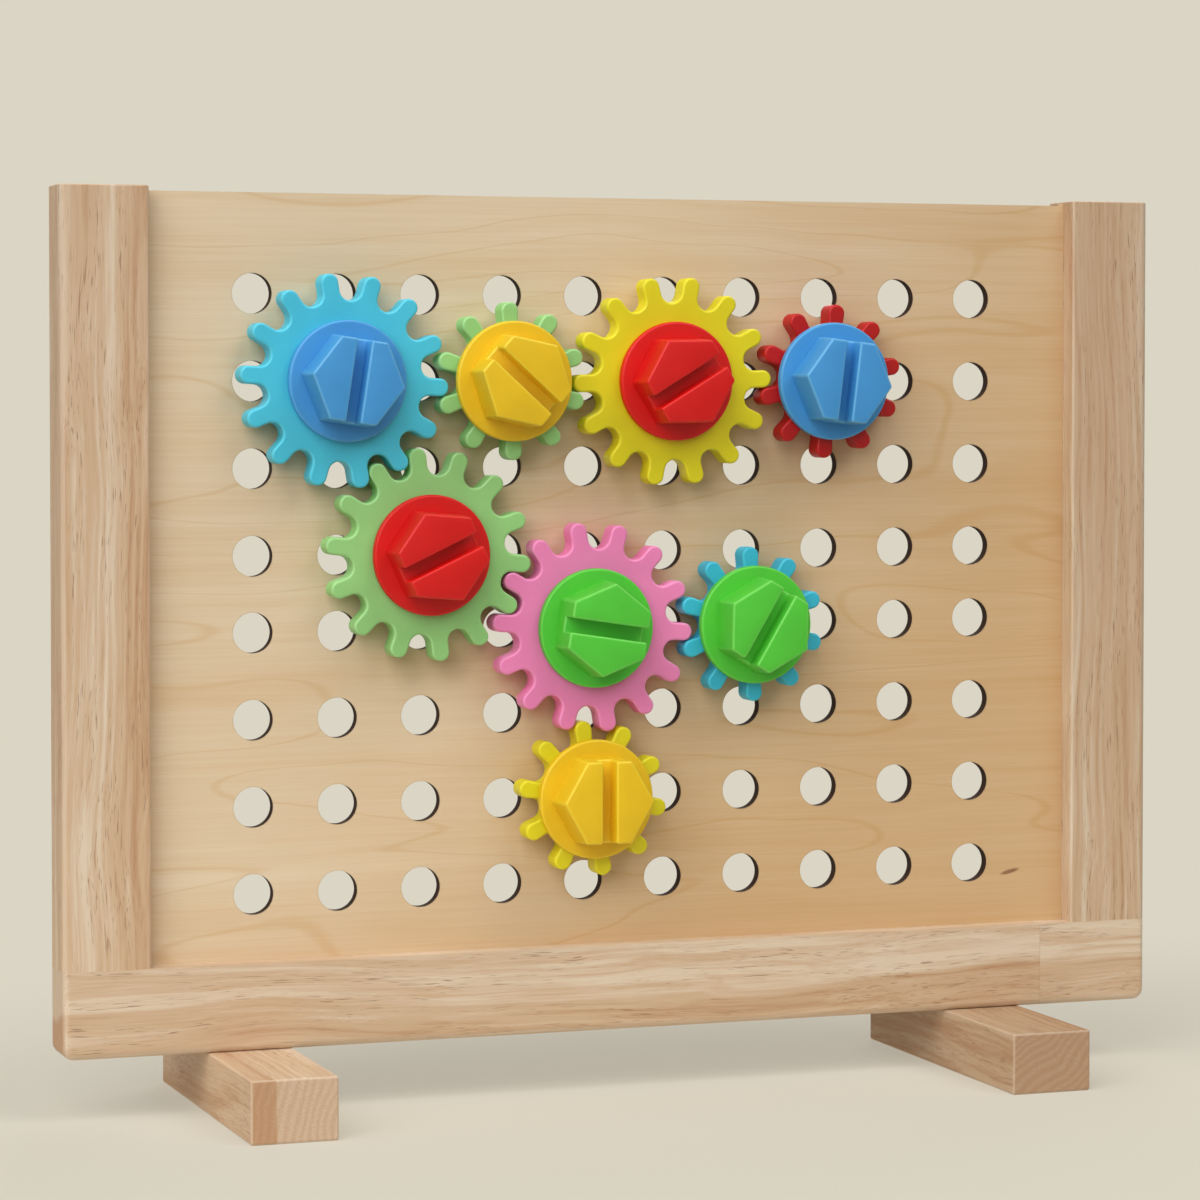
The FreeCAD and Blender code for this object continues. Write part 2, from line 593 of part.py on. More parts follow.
def make_bolt(label, x, z, angle):
    """A bolt with a slotted hexagonal head, a round flange and a shoulder that the gear turns on."""
    body = new_body(label)
    half_section = new_sketch(body, f"{label}_half_section", "XY_Plane")
    flange = "Sizes.flange_diameter / 2"
    corners = (
        ("0", f"-{HEAD_FOOT}"),
        (flange, f"-{HEAD_FOOT}"),
        (flange, f"-{SHOULDER_LENGTH}"),
        (SHOULDER, f"-{SHOULDER_LENGTH}"),
        (SHOULDER, "0"),
        (SHANK, "0"),
        (SHANK, f"{SHANK_END} - Sizes.shank_chamfer"),
        (f"{SHANK} - Sizes.shank_chamfer", SHANK_END),
        ("0", SHANK_END),
    )
    add_polygon(half_section, corners)
    revolve(body, half_section, "V_Axis")
    rim = value(flange)
    soften(body, "Fillet", lambda p: same(math.hypot(p.x, p.z), rim), "Sizes.flange_edge_radius")
    thread = new_sketch(body, f"{label}_thread", "XY_Plane")
    last = f"({SHANK_END} - Sizes.shank_chamfer - Sizes.thread_pitch / 2)"
    outside = f"({SHANK} + Sizes.thread_clearance)"
    inside = f"({SHANK} - Sizes.thread_depth)"
    half_mouth = "(Sizes.thread_pitch - Sizes.thread_crest) / 2"
    half_root = "Sizes.thread_root / 2"
    corners = (
        (outside, f"{last} - {half_mouth}"),
        (outside, f"{last} + {half_mouth}"),
        (inside, f"{last} + {half_root}"),
        (inside, f"{last} - {half_root}"),
    )
    add_polygon(thread, corners)
    first_groove = cut(body, "Groove", thread, axis="V_Axis")
    grooves = body.newObject("PartDesign::LinearPattern", f"{label}_threads")
    grooves.Originals = [first_groove]
    grooves.Direction = (origin_feature(body, "Y_Axis"), [""])
    grooves.Reversed = True
    turns = f"floor(({SHANK_END} - Sizes.shank_chamfer) / Sizes.thread_pitch)"
    grooves.setExpression("Occurrences", turns)
    grooves.setExpression("Length", f"({turns} - 1) * Sizes.thread_pitch")
    body.Tip = grooves
    doc.recompute()
    hexagon = new_sketch(body, f"{label}_hexagon", "XZ_Plane", HEAD_FOOT)
    add_hexagon(hexagon, "Sizes.head_corners")
    pad(body, hexagon, "Sizes.head_height", draft="-Sizes.head_draft")
    foot = -value(HEAD_FOOT)
    soften(body, "Fillet", lambda p: p.y < foot - 1e-4, "Sizes.head_edge_radius")
    slot_bottom = f"{HEAD_FOOT} + Sizes.head_height - Sizes.slot_depth"
    slot = new_sketch(body, f"{label}_slot", "XZ_Plane", slot_bottom)
    reach = "Sizes.head_corners / 2"
    add_rectangle(slot, f"-{reach}", reach, "-Sizes.slot_width / 2", "Sizes.slot_width / 2")
    cut(body, "Pocket", slot, reverse=True)
    place(body, x, BOARD_FRONT, z, (0, -1, 0), angle)


def make_nut(label, x, z, angle):
    """A hexagonal nut that bears on the back of the board."""
    body = new_body(label)
    hexagon = new_sketch(body, f"{label}_hexagon", "XZ_Plane", "-Sizes.board_thickness")
    add_hexagon(hexagon, "Sizes.nut_corners")
    pad(body, hexagon, "Sizes.nut_thickness", reverse=True)
    near = value("Sizes.board_thickness")
    far = near + value("Sizes.nut_thickness")
    soften(body, "Chamfer", lambda p: same(p.y, near) or same(p.y, far), "Sizes.nut_chamfer")
    bore = new_sketch(body, f"{label}_bore", "XZ_Plane", "-Sizes.board_thickness")
    add_circle(bore, "0", "0", f"{SHANK} + Sizes.thread_clearance")
    cut(body, "Pocket", bore)
    place(body, x, BOARD_FRONT, z, (0, -1, 0), angle)


def mesh_angle(driver, column, row, kind, share):
    """The angle of a gear whose teeth stand in the gaps of its driver's, as seen from the front."""
    driver_x, driver_z, driver_kind, driver_angle = driver
    x, z = (value(part) for part in hole_place(column, row))
    teeth = value(f"Sizes.{kind}_teeth")
    driver_teeth = value(f"Sizes.{driver_kind}_teeth")
    direction = math.degrees(math.atan2(z - driver_z, x - driver_x))
    gap = direction + 180 - (driver_angle - direction) * driver_teeth / teeth
    pitch_radius = math.dist((x, z), (driver_x, driver_z)) * teeth / (driver_teeth + teeth)
    free_arc = math.tau * pitch_radius / teeth - 4 * value(TOOTH_TIP)
    lean = math.degrees(share * free_arc / 2 / pitch_radius)
    return (gap + 180 / teeth + lean) % (360 / teeth)


def make_gear_train():
    """Every gear with its bolt and its nut, each gear in mesh with the one that drives it."""
    made = {}
    for label, column, row, kind, driver, share in GEARS:
        angle = FIRST_GEAR_ANGLE
        if driver:
            angle = mesh_angle(made[driver], column, row, kind, share)
        x, z = hole_place(column, row)
        made[label] = (value(x), value(z), kind, angle)
        make_gear(label, kind, x, z, angle)
        make_bolt(f"{label}_bolt", x, z, SLOT_ANGLES[label])
        make_nut(f"{label}_nut", x, z, SLOT_ANGLES[label])
        print(f"{label}: x {value(x):.3f} z {value(z):.3f} angle {angle:.3f}")


def export_parts():
    """Checks every object of the document and writes each piece to its own file."""
    doc.recompute()
    for item in doc.Objects:
        if "Invalid" in item.State or "Error" in item.State:
            raise RuntimeError(f"{item.Label} failed: {item.State}")
    bodies = [item for item in doc.Objects if item.TypeId == "PartDesign::Body"]
    for body in bodies:
        if body.Shape.isNull() or not body.Shape.isValid() or len(body.Shape.Solids) != 1:
            raise RuntimeError(f"{body.Label} is not one valid solid")
    os.makedirs("parts", exist_ok=True)
    for body in bodies:
        body.Shape.exportStep(f"parts/{body.Label}.step")
    print(f"{len(bodies)} pieces")


make_board()
make_rail()
for name, direction in (("left", -1), ("right", 1)):
    make_post(f"{name}_post", direction)
    make_foot(f"{name}_foot", direction)
    make_dowel(f"{name}_post_dowel", direction)
    make_screw(f"{name}_foot_inner_screw", direction, -direction)
    make_screw(f"{name}_foot_outer_screw", direction, direction)
make_gear_train()
export_parts()
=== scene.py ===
"""A framed wooden peg board whose plastic gears turn on slotted bolts, dressed piece by piece."""

import json
import math
from collections import namedtuple

import bmesh
import bpy
from bpy.props import FloatProperty, FloatVectorProperty, IntProperty, PointerProperty
from bpy.types import Operator, Panel, PropertyGroup
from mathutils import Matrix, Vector


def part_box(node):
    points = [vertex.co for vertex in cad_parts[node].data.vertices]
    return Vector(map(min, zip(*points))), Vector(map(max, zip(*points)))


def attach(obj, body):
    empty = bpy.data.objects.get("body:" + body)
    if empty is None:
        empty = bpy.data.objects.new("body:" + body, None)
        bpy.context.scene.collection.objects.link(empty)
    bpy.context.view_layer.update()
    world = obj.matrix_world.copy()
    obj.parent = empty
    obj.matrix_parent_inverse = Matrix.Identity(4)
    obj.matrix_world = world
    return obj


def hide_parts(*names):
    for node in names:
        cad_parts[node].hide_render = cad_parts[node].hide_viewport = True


bl_info = {
    "name": "Gear Peg Board",
    "version": (1, 0, 0),
    "blender": (4, 5, 0),
    "location": "3D View > Sidebar > Gear Board",
    "description": "Finishes for a wooden peg board with gears, bolts and nuts",
    "category": "Object",
}

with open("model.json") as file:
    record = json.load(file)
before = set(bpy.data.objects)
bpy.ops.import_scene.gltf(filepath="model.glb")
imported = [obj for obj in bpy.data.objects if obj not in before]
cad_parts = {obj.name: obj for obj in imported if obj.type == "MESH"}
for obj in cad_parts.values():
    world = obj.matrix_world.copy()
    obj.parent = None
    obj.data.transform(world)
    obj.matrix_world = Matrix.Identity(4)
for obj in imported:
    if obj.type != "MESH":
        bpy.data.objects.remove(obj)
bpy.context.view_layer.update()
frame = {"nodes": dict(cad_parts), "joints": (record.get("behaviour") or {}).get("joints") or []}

MM = 0.001
# axis of a bar's grain, its place in the plank it was cut from, its warmth from 0 to 1, its shade,
# its heartwood (axis across it, where it begins and is full in millimetres, wander, depth), and
# where one block of wood is glued to the next
Bar = namedtuple("Bar", "grain plank warmth shade heart joint", defaults=(None, None))
BARS = {
    "left_post": Bar("Z", (40, 31, 12), 0.7, 1.02, ("X", -186, -177, 3, 0.32)),
    "right_post": Bar("Z", (310, 84, 47), 0.64, 0.95),
    "bottom_rail": Bar("X", (120, 12, 66), 0.0, 1.0, ("Z", 38, 34, 34, 0.9), 160),
    "left_foot": Bar("Y", (500, 47, 15), 0.35, 0.99, ("X", -143.4, -144.6, 0, 0.7)),
    "right_foot": Bar("Y", (620, 5, -111), 1.15, 0.82),
}
# gear: colour of the gear, colour of its bolt and nut, turn of the bolt's slot in degrees
GEARS = {
    "large_blue_gear": ("cyan", "bolt_blue", 81.3),
    "small_green_gear": ("light_green", "bolt_yellow", -42),
    "large_yellow_gear": ("yellow", "bolt_red", 31),
    "small_red_gear": ("red", "bolt_blue", 83),
    "large_green_gear": ("light_green", "bolt_red", 25),
    "large_pink_gear": ("pink", "bolt_green", -8.7),
    "small_blue_gear": ("teal", "bolt_green", 59),
    "small_yellow_gear": ("yellow", "bolt_yellow", 90),
}

# the board's two blocks of holes, in millimetres in the part's frame
BOARD_GRID = {
    "pitch": 30.0,
    "column": -135.0,
    "low_row": 74.2,
    "low_block_top": 164.2,
    "high_block_foot": 190.53,
    "high_row": 280.53,
    "hole_radius": 7.0,
}

# how far the wood's figure jumps, in millimetres, at a bar's glued block and on the board's back
BLOCK_SHIFT = (90, 37, 21)
BACK_SHIFT = (700, 430, 0)
# millimetres from a plank's middle to its tree's heart, and from one growth ring to the next
TREE_HEART = 70.0
RING_WIDTH = 3.0
# a dark fleck in the board's face, in millimetres: its middle, half its size, and its slope
FLECK = {"x": 151.5, "z": 70.23, "half_length": 4.6, "half_height": 1.0, "slope": 0.22}

# degrees from which a head's edge is rounded, and from which any edge shades as an edge
ROUND_ANGLE = 30
SMOOTH_ANGLE = 32
ROUND_SEGMENTS = 4
ARC_STEPS = 6
# rings of points for each turn of a thread, and how many turns its end takes to run out
THREAD_SLICES = 20
THREAD_RUN_OUT = 0.5
# from a groove's middle, 0, to its ridge's middle, 1: where the flank ends, and how wide it is
FLANK_END = 0.9
FLANK_WIDTH = 0.65
# share of the flange's radius where its front begins, under the head
FLANGE_START = 0.6
# the nut: steps of the cone that cuts its corners, how far outside the flats the cone begins, and
# how far inside the flats the face ends
NUT_CONE_STEPS = 8
NUT_CONE_START = 0.2 * MM
NUT_FACE_INSET = 0.8 * MM

# name of each light, its place and its width in metres, and the setting that holds its power
LIGHTS = (
    ("key_light", (0.8, -1.1, 1.9), 1.6, "key_power"),
    ("fill_light", (-1.6, -2.0, 1.5), 3.0, "fill_power"),
    ("side_light", (-1.5, -0.8, 1.9), 3.0, "side_power"),
    ("top_light", (0.0, -0.3, 2.3), 2.2, "top_power"),
    ("back_light", (1.2, 2.0, 1.5), 1.8, "back_power"),
)
LIGHT_AIM = Vector((0, 0, 0.16))
# the floor in metres: the piece that takes part in the light, and how far the rest reaches
FLOOR_NEAR = 0.5
FLOOR_FAR = 30.0
FLOOR_STEPS = 96
# its shadows fade out between these distances, and how much x, y and z count in a distance
FLOOR_FADE = (0.07, 0.36)
FLOOR_SQUEEZE = (0.45, 1.0, 0.0)


def linear(red, green, blue):
    """A colour as a screen shows it, in steps of 255, as the linear values that shaders use."""
    def channel(step):
        share = step / 255
        return share / 12.92 if share <= 0.04045 else ((share + 0.055) / 1.055) ** 2.4

    return channel(red), channel(green), channel(blue)


def colour(name, description, red, green, blue):
    """A colour that a user can change."""
    return FloatVectorProperty(
        name=name, description=description, subtype="COLOR", size=3, min=0, max=1,
        default=linear(red, green, blue),
    )


def length(name, description, millimetres):
    """A length that a user can change, kept in metres."""
    return FloatProperty(
        name=name, description=description, default=millimetres * MM,
        min=0, precision=5, subtype="DISTANCE", unit="LENGTH",
    )


def power(name, description, watts):
    """A light's power that a user can change, in watts."""
    return FloatProperty(name=name, description=description, default=watts, min=0, unit="POWER")


class GearBoardWood(PropertyGroup):
    """Colours and grain of the plywood board and of the solid bars round it."""

    veneer_light: colour("Veneer, light", "Early wood of the board's face veneer", 234, 214, 184)
    veneer_dark: colour("Veneer, dark", "Late wood of the board's face veneer", 222, 191, 149)
    # the colour that the face veneer darkens towards, low on the right of the board
    veneer_tan: colour("Veneer, tan", "What the deeper side of the veneer is stained by", 238, 222, 200)
    core_ply: colour("Core ply", "The middle layer at the board's edges", 176, 138, 96)
    burnt_edge: colour("Burnt edge", "Walls of the holes, which a laser cuts", 36, 15, 8)
    bar_light: colour("Bar, light", "Pale streaks of the bars", 227, 207, 182)
    bar_middle: colour("Bar, middle", "Body colour of the bars", 210, 179, 146)
    bar_warm: colour("Bar, warm", "Reddish bands of the bars", 189, 146, 109)
    bar_pore: colour("Bar, pores", "Short dark vessel lines of the bars", 142, 98, 68)


class GearBoardPlastic(PropertyGroup):
    """Colours and finish of the moulded plastic pieces."""

    cyan: colour("Cyan", "Large gear at the top left", 76, 204, 229)
    light_green: colour("Light green", "Two of the gears", 155, 215, 132)
    yellow: colour("Yellow", "Two of the gears", 232, 220, 23)
    red: colour("Red", "Small gear at the top right", 188, 6, 10)
    pink: colour("Pink", "Large gear in the middle", 250, 139, 195)
    teal: colour("Teal", "Small gear on the right", 57, 190, 220)
    bolt_blue: colour("Bolt, blue", "Bolt and nut", 70, 155, 218)
    bolt_yellow: colour("Bolt, yellow", "Bolt and nut", 240, 198, 24)
    bolt_red: colour("Bolt, red", "Bolt and nut", 217, 9, 7)
    bolt_green: colour("Bolt, green", "Bolt and nut", 85, 205, 59)
    roughness: FloatProperty(
        name="Roughness", description="Of the moulded skin", default=0.46,
        min=0, max=1, subtype="FACTOR",
    )
    # painted highlight: how much paler the plastic's rounded edges and rims are painted
    edge_light: FloatProperty(
        name="Edge light", description="How much paler the thin rounded edges are", default=0.14,
        min=0, max=1, subtype="FACTOR",
    )
    glow_depth: length("Glow depth", "How far light enters the plastic", 1.2)


class GearBoardFastener(PropertyGroup):
    """Sizes of the bolts and nuts that a user may change. The rest comes from the frame."""

    flange_radius: length("Flange radius", "Round flange under the head", 20.9)
    flange_thickness: length("Flange thickness", "Round flange under the head", 3.5)
    head_radius: length("Head radius", "Hexagon, centre to corner, at the flange", 17.2)
    head_draft: FloatProperty(
        name="Head draft", description="Slope of the hexagon's sides", default=math.radians(2.6),
        subtype="ANGLE", unit="ROTATION",
    )
    head_height: length("Head height", "Hexagon above the flange", 13.5)
    slot_width: length("Slot width", "Screwdriver slot", 5)
    slot_depth: length("Slot depth", "Screwdriver slot", 7)
    head_round: length("Head rounding", "Edges of head and slot", 0.75)
    flange_round: length("Flange rounding", "Rim of the flange", 0.9)
    shoulder_radius: length("Shoulder radius", "The gear's bearing", 8)
    shank_radius: length("Shank radius", "Over the threads", 6.5)
    shank_chamfer: length("Shank chamfer", "The bolt's end", 1)
    thread_pitch: length("Thread pitch", "One turn of the nut", 4)
    thread_depth: length("Thread depth", "Of the bolt's thread", 0.8)
    thread_clearance: length("Thread clearance", "Between the threads of bolt and nut", 0.3)
    nut_radius: length("Nut radius", "Hexagon, centre to corner", 16.5)
    nut_chamfer: length("Nut chamfer", "Corners of both faces", 1.6)
    round_steps: IntProperty(
        name="Round steps", description="Points round a thread", default=96, min=24, max=192,
    )


class GearBoardStage(PropertyGroup):
    """Floor, lights and camera."""

    surroundings: colour("Surroundings", "The floor, and what shows behind the board", 219, 213, 197)
    floor_glow: FloatProperty(
        name="Floor glow", description="Share of the floor's brightness that no shadow takes away",
        default=0.5, min=0, max=1, subtype="FACTOR",
    )
    camera_place: FloatVectorProperty(
        name="Camera place", description="In the part's frame", size=3, subtype="TRANSLATION",
        unit="LENGTH", default=(-0.4722, -1.3014, 0.2489),
    )
    camera_azimuth: FloatProperty(
        name="Camera azimuth", description="Turn of the view from straight ahead, to the right",
        default=math.radians(19.594), subtype="ANGLE", unit="ROTATION",
    )
    camera_tilt: FloatProperty(
        name="Camera tilt", description="Below the horizon", default=math.radians(1.807),
        subtype="ANGLE", unit="ROTATION",
    )
    camera_lens: FloatProperty(
        name="Lens", description="Focal length in millimetres", default=117.41,
        min=20, subtype="DISTANCE_CAMERA",
    )
    camera_shift: FloatProperty(name="Shift", description="Upright shift of the lens", default=-0.0756)
    key_power: power("Key light", "Above in front on the right", 20)
    fill_power: power("Fill light", "In front on the left", 46)
    side_power: power("Side light", "High on the left", 34)
    top_power: power("Top light", "High over the board", 2)
    back_power: power("Back light", "High behind the board", 22)


class NodeGraph:
    """The node tree of one material, with short ways to add its nodes."""

    def __init__(self, name):
        self.material = bpy.data.materials.new(name)
        self.material.use_nodes = True
        self.tree = self.material.node_tree
        self.tree.nodes.clear()
        self.output = self.tree.nodes.new("ShaderNodeOutputMaterial")

    def node(self, kind, sources=(), **settings):
        """Adds a node, then links or sets its sockets from pairs of socket and source."""
        made = self.tree.nodes.new(kind)
        for name, setting in settings.items():
            setattr(made, name, setting)
        for socket, source in dict(sources).items():
            self.feed(made.inputs[socket], source)
        return made

    def feed(self, socket, source):
        """Links a socket to another node's output, or gives it a value."""
        if isinstance(source, bpy.types.NodeSocket):
            self.tree.links.new(source, socket)
        else:
            socket.default_value = source

    def math(self, operation, first, second=0.0, third=0.0):
        sources = {0: first, 1: second, 2: third}
        return self.node("ShaderNodeMath", sources, operation=operation).outputs[0]

    def vector(self, operation, first, second=(0, 0, 0), third=(0, 0, 0)):
        sources = {0: first, 1: second, 2: third}
        return self.node("ShaderNodeVectorMath", sources, operation=operation).outputs[0]

    def mix(self, share, first, second, blend="MIX"):
        """Mixes two colours."""
        sources = {0: share, 6: rgba(first), 7: rgba(second)}
        return self.node("ShaderNodeMix", sources, data_type="RGBA", blend_type=blend).outputs[2]

    def noise(self, where, along, across, detail=2, roughness=0.5):
        """A noise node. Its marks are as many millimetres long, along x, and wide as given."""
        scaled = self.vector("MULTIPLY", where, (1 / along, 1 / across, 1 / across))
        sources = {"Vector": scaled, "Scale": 1.0, "Detail": detail, "Roughness": roughness}
        return self.node("ShaderNodeTexNoise", sources)

    def marks(self, where, along, across, detail=2, roughness=0.5):
        """Noise as one value, from 0 to 1."""
        return self.noise(where, along, across, detail, roughness).outputs[0]

    def sway(self, where, along, across, detail=2):
        """Noise as a vector, each part from -0.5 to 0.5."""
        colour = self.noise(where, along, across, detail).outputs["Color"]
        return self.vector("SUBTRACT", colour, (0.5, 0.5, 0.5))

    def total(self, *weighted):
        """The sum of pairs of a source and its weight."""
        result = 0.0
        for source, weight in weighted:
            result = self.math("MULTIPLY_ADD", source, weight, result)
        return result

    def length(self, vector):
        """How long a vector is."""
        return self.node("ShaderNodeVectorMath", {0: vector}, operation="LENGTH").outputs["Value"]

    def alike(self, share):
        """A vector with the same x, y and z."""
        return self.joined(share, share, share)

    def ramp(self, source, low, high):
        """0 below low and 1 above high, with a smooth step between."""
        sources = {"Value": source, "From Min": low, "From Max": high}
        made = self.node("ShaderNodeMapRange", sources, interpolation_type="SMOOTHSTEP")
        return made.outputs[0]

    def place(self):
        """The point in the part's frame, in millimetres."""
        coordinates = self.node("ShaderNodeTexCoord").outputs["Object"]
        return self.vector("MULTIPLY", coordinates, (1 / MM, 1 / MM, 1 / MM))

    def parts(self, vector):
        """The x, y and z of a vector."""
        return self.node("ShaderNodeSeparateXYZ", {0: vector}).outputs

    def joined(self, x, y, z):
        """A vector from x, y and z."""
        return self.node("ShaderNodeCombineXYZ", {0: x, 1: y, 2: z}).outputs[0]

    def facing(self, axis):
        """How squarely the surface faces along an axis, from 0 to 1."""
        normal = self.node("ShaderNodeTexCoord").outputs["Normal"]
        return self.math("ABSOLUTE", self.parts(normal)[axis])

    def bump(self, height, distance, strength=1.0):
        """The surface's normal with a relief, distance high in metres."""
        sources = {"Height": height, "Distance": distance, "Strength": strength}
        return self.node("ShaderNodeBump", sources).outputs[0]

    def finish(self, shader):
        self.tree.links.new(shader, self.output.inputs["Surface"])
        return self.material


def rgba(source):
    """A colour with its alpha, if it is a plain one."""
    if isinstance(source, bpy.types.NodeSocket):
        return source
    return (*source[:3], 1.0)


def dress(piece, *materials):
    """Gives a piece its material, and its rounded edges the second one, which paints a highlight on
    them, if there is one.
    """
    if piece.data.materials:
        piece.data.materials.clear()
    for material in materials:
        piece.data.materials.append(material)


# ---------------------------------------------------------------- wood

def grain_space(graph, axis, shift):
    """Millimetres with the grain along x, moved to a place of its own in the plank."""
    x, y, z = graph.parts(graph.place())
    along = {"X": (x, z, y), "Y": (y, x, z), "Z": (z, x, y)}[axis]
    return graph.vector("ADD", graph.joined(*along), shift)


def growth_rings(graph, grain):
    """Waves round the heart of the tree, from -1 to 1, which drift along the grain."""
    _, across, depth = graph.parts(grain)
    pith = graph.length(graph.joined(0.0, graph.math("SUBTRACT", across, TREE_HEART), depth))
    drift = graph.marks(grain, 200, 16, detail=1)
    pith = graph.math("MULTIPLY_ADD", drift, 7.0, pith)
    return graph.math("SINE", graph.math("MULTIPLY", pith, math.tau / RING_WIDTH))


def vessel_lines(graph, grain):
    """Short lines along the grain that come in patches, from 0 to 1."""
    vessels = graph.marks(grain, 8, 0.42, detail=1, roughness=0.4)
    patches = graph.marks(grain, 70, 6)
    return graph.math("MULTIPLY", graph.ramp(vessels, 0.60, 0.72), graph.ramp(patches, 0.42, 0.58))


def bar_material(name, wood, bar):
    """Solid wood with pale and reddish bands, short dark vessel lines and rings on its ends."""
    graph = NodeGraph(name)
    sides = graph.parts(graph.place())
    straight = grain_space(graph, bar.grain, bar.plank)
    if bar.joint:
        beyond = graph.math("GREATER_THAN", sides["X"], bar.joint)
        straight = graph.vector("MULTIPLY_ADD", graph.alike(beyond), BLOCK_SHIFT, straight)
    sway = graph.sway(straight, 150, 45)
    grain = graph.vector("MULTIPLY_ADD", sway, (0, 16, 16), straight)
    fibre = graph.marks(grain, 22, 0.45, roughness=0.7)
    rings = growth_rings(graph, grain)

    # how reddish the wood is along the grain, tone, and on its ends, year
    bands = graph.marks(grain, 420, 13, detail=3, roughness=0.55)
    streaks = graph.marks(grain, 110, 2.2, detail=4, roughness=0.6)
    tone = graph.total((streaks, 0.75), (bands, 0.8), (fibre, 0.3), (rings, 0.03))
    tone = graph.math("ADD", tone, 0.11 + 0.3 * (bar.warmth - 0.5))
    cells = graph.marks(straight, 20, 0.6, detail=3, roughness=0.6)
    year = graph.total((cells, 0.24), (rings, 0.03))
    year = graph.math("ADD", year, 0.35 + 0.12 * (bar.warmth - 0.5))
    if bar.heart:
        axis, begins, full, wander, share = bar.heart
        highlight = graph.math("MULTIPLY_ADD", graph.parts(sway)["Y"], wander, sides[axis])
        heart = graph.math("MULTIPLY", graph.ramp(highlight, begins, full), share)
        tone = graph.math("MULTIPLY_ADD", heart, 0.28, tone)
        year = graph.math("MULTIPLY_ADD", heart, 0.22, year)

    light, middle, warm, pore = (
        tuple(channel * bar.shade for channel in hue)
        for hue in (wood.bar_light, wood.bar_middle, wood.bar_warm, wood.bar_pore)
    )
    pale = graph.mix(graph.ramp(tone, 0.78, 1.10), light, middle)
    body = graph.mix(graph.ramp(tone, 1.06, 1.40), pale, warm)
    lines = vessel_lines(graph, grain)
    flank = graph.mix(graph.math("MULTIPLY", lines, 0.6), body, pore)
    end = graph.mix(graph.ramp(year, 0.22, 0.66), light, warm)
    facings = {axis: graph.facing(axis) for axis in "XYZ"}
    skin = graph.mix(graph.ramp(facings[bar.grain], 0.6, 0.85), flank, end)

    # a painted highlight that makes the rounded edges paler, and the line where two blocks are glued
    flattest = graph.math("MAXIMUM", facings["X"], graph.math("MAXIMUM", facings["Y"], facings["Z"]))
    painted_highlight = graph.math("MULTIPLY", graph.ramp(flattest, 0.99, 0.85), 0.3)
    skin = graph.mix(painted_highlight, skin, paler(light, 0.12))
    if bar.joint:
        from_seam = graph.math("ABSOLUTE", graph.math("SUBTRACT", sides["X"], bar.joint))
        seam = graph.ramp(from_seam, 0.3, 0.1)
        skin = graph.mix(graph.math("MULTIPLY", seam, 0.15), skin, wood.bar_pore)
    relief = graph.math("SUBTRACT", graph.math("MULTIPLY", fibre, 0.35), lines)
    shader = graph.node("ShaderNodeBsdfPrincipled", {
        "Base Color": skin,
        "Roughness": graph.math("MULTIPLY_ADD", fibre, 0.2, 0.42),
        "Specular IOR Level": 0.35,
        "Normal": graph.bump(relief, 0.00008, 0.5),
    })
    return graph.finish(shader.outputs[0])


def hole_distance(graph, place, board):
    """How far a point of the board is from the centre of the nearest hole, in millimetres."""
    x, _, z = graph.parts(place)
    row_gap = board["pitch"]
    # counted from ten gaps outside the grid, so that no count is below 0
    from_column = graph.math("SUBTRACT", x, board["column"] - 10 * row_gap)
    from_column = graph.math("PINGPONG", from_column, row_gap / 2)
    upper = graph.math("GREATER_THAN", z, (board["low_block_top"] + board["high_block_foot"]) / 2)
    lift = graph.math("MULTIPLY", upper, board["high_block_foot"] - board["low_block_top"] - row_gap)
    level = graph.math("SUBTRACT", graph.math("SUBTRACT", z, lift), board["low_row"] - 10 * row_gap)
    from_row = graph.math("PINGPONG", level, row_gap / 2)
    beyond_column = graph.math("SUBTRACT", graph.math("ABSOLUTE", x), -board["column"])
    from_column = graph.math("MAXIMUM", from_column, beyond_column)
    below_row = graph.math("SUBTRACT", board["low_row"], z)
    above_row = graph.math("SUBTRACT", z, board["high_row"])
    from_row = graph.math("MAXIMUM", from_row, graph.math("MAXIMUM", below_row, above_row))
    return graph.length(graph.joined(from_column, 0.0, from_row))


def veneer_tone(graph, grain, fibre, cloud):
    """How dark the veneer is: wide bands, streaks and the thin contour lines of a peeled log."""
    flow = graph.vector("MULTIPLY_ADD", graph.sway(grain, 260, 70, detail=3), (0, 60, 0), grain)
    bands = graph.marks(flow, 500, 9, detail=3)
    streaks = graph.marks(grain, 220, 2.2, detail=3, roughness=0.6)
    contour = graph.math("MULTIPLY", graph.marks(flow, 420, 60, detail=1), 22.0)
    contour = graph.ramp(graph.math("PINGPONG", contour, 1.0), 0.91, 1.0)
    return graph.total((contour, 0.21), (bands, 0.4), (streaks, 0.28), (fibre, 0.35), (cloud, 0.25))


def fleck_share(graph, x, z):
    """1 in the middle of the board's dark fleck, and 0 from its outline on."""
    level = graph.math("MULTIPLY_ADD", x, -FLECK["slope"], z)
    middle_level = FLECK["z"] - FLECK["slope"] * FLECK["x"]
    fleck = graph.vector("ADD", graph.joined(x, 0.0, level), (-FLECK["x"], 0.0, -middle_level))
    fleck = graph.vector("MULTIPLY", fleck, (1 / FLECK["half_length"], 0.0, 1 / FLECK["half_height"]))
    return graph.ramp(graph.length(fleck), 1.0, 0.5)


